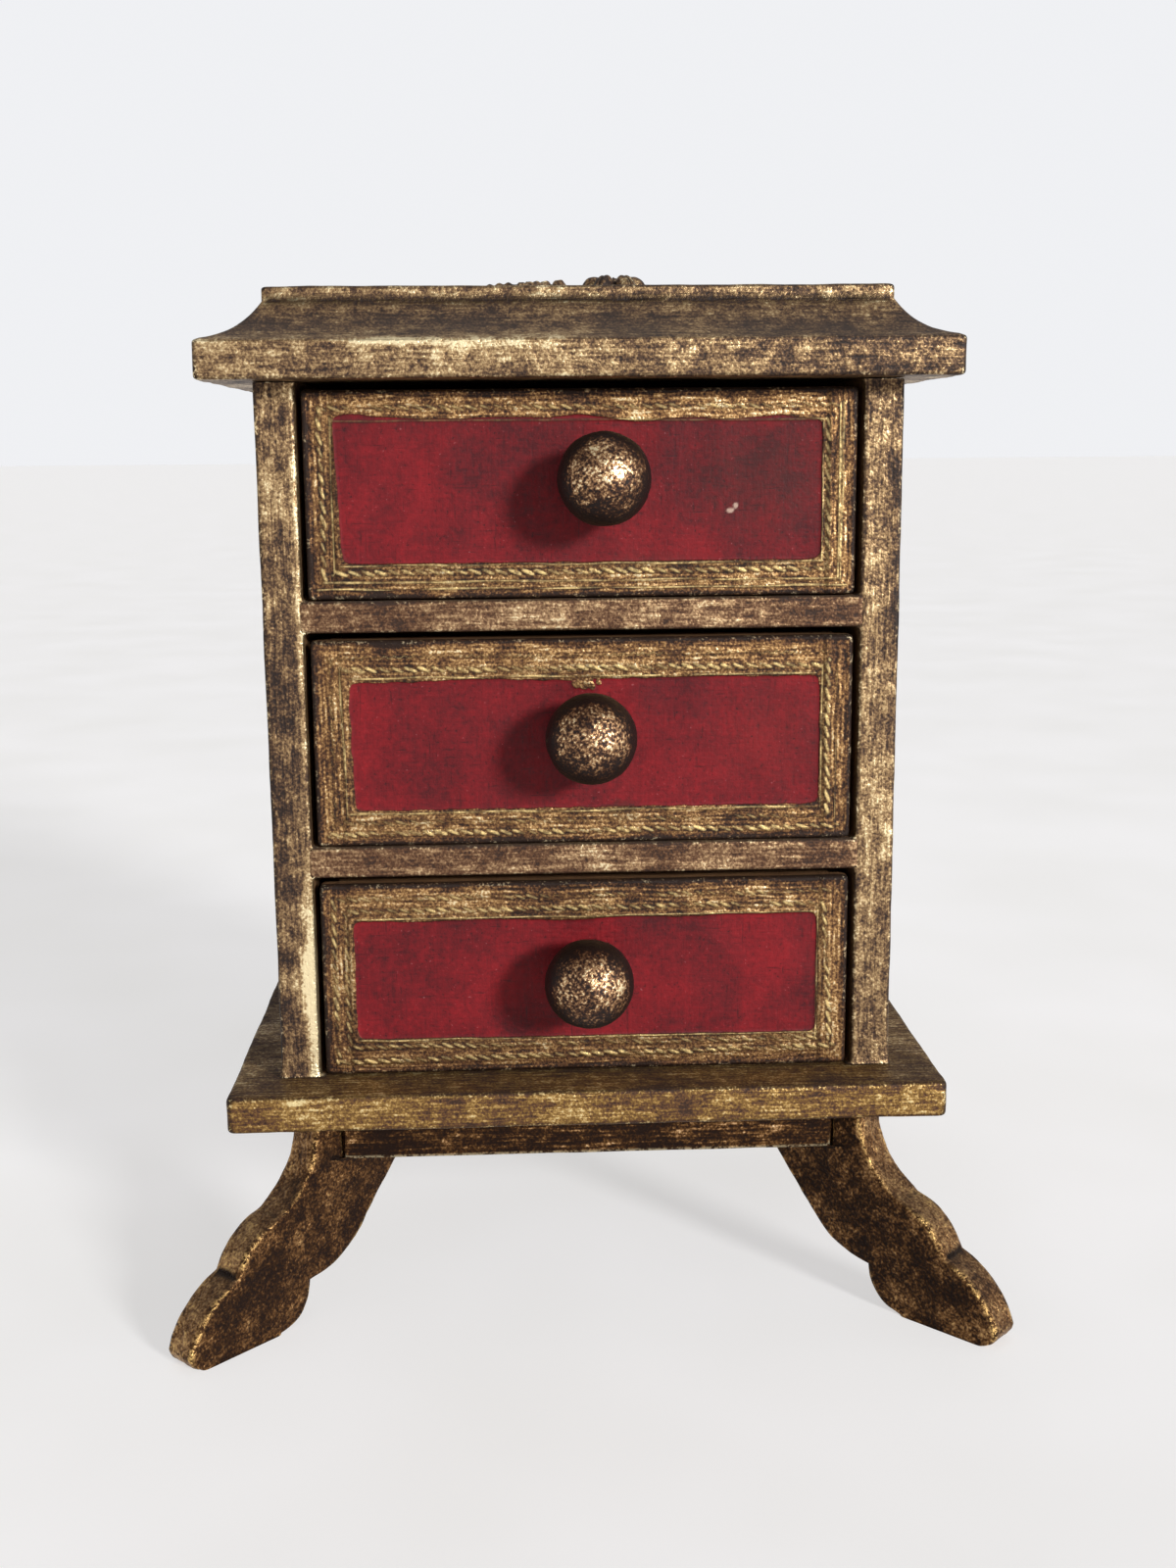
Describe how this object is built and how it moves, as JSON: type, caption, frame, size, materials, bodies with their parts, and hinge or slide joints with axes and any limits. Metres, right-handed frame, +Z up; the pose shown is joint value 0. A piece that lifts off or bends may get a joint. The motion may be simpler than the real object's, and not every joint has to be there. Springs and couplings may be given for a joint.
{
  "type": "miniature drawer chest",
  "caption": "Small gilt wooden chest with red-fronted drawers, ball knobs, a moulded top with relief ornament, a plinth and splayed profiled legs.",
  "frame": {"origin": "on the floor, under the middle of the case in plan", "axes": "+Z up; +Y from the drawer fronts to the back; +X to the right seen from the front, so the drawers open along -Y"},
  "size_m": [0.1866, 0.1726, 0.2348],
  "materials": {
    "gilded_wood": "worn bronze-gold leaf over dark bole and gesso on wood, satin",
    "gilded_gesso": "worn gold leaf on moulded gesso relief, satin",
    "gilded_knob": "burnished worn gold leaf over dark bole on a turned ball, semi-gloss",
    "painted_front": "crimson distemper panel under old varnish inside a tooled gold-leaf border, semi-gloss",
    "drawer_wood": "plain planed softwood, matte",
    "stained_wood": "thin board stained brown, matte",
    "dowel_wood": "beech, matte",
    "steel_wire": "dull drawn wire"
  },
  "bodies": {
    "case": {"case_side_left": "gilded_wood", "case_side_right": "gilded_wood", "shelf_lower": "gilded_wood", "shelf_upper": "gilded_wood", "back_panel": "stained_wood", "back_brads": "steel_wire", "top_board": "gilded_wood", "top_dowels": "dowel_wood", "top_ornament": "gilded_gesso", "plinth_board": "gilded_wood", "plinth_dowels": "dowel_wood", "base_board": "gilded_wood", "leg_dowels": "dowel_wood", "leg_front_left": "gilded_wood", "leg_front_right": "gilded_wood", "leg_back_left": "gilded_wood", "leg_back_right": "gilded_wood"},
    "drawer_top": {"drawer_top_front": "painted_front", "drawer_top_side_left": "drawer_wood", "drawer_top_side_right": "drawer_wood", "drawer_top_back": "drawer_wood", "drawer_top_bottom": "drawer_wood", "drawer_top_brads": "steel_wire", "drawer_top_knob": "gilded_knob"},
    "drawer_middle": {"drawer_middle_front": "painted_front", "drawer_middle_side_left": "drawer_wood", "drawer_middle_side_right": "drawer_wood", "drawer_middle_back": "drawer_wood", "drawer_middle_bottom": "drawer_wood", "drawer_middle_brads": "steel_wire", "drawer_middle_knob": "gilded_knob"},
    "drawer_bottom": {"drawer_bottom_front": "painted_front", "drawer_bottom_side_left": "drawer_wood", "drawer_bottom_side_right": "drawer_wood", "drawer_bottom_back": "drawer_wood", "drawer_bottom_bottom": "drawer_wood", "drawer_bottom_brads": "steel_wire", "drawer_bottom_knob": "gilded_knob"}
  },
  "joints": [
    {"name": "drawer_top_slide", "type": "slide", "parent": "case", "child": "drawer_top", "axis": [0, -1, 0], "range_m": [0, 0.08]},
    {"name": "drawer_middle_slide", "type": "slide", "parent": "case", "child": "drawer_middle", "axis": [0, -1, 0], "range_m": [0, 0.08]},
    {"name": "drawer_bottom_slide", "type": "slide", "parent": "case", "child": "drawer_bottom", "axis": [0, -1, 0], "range_m": [0, 0.08]}
  ]
}
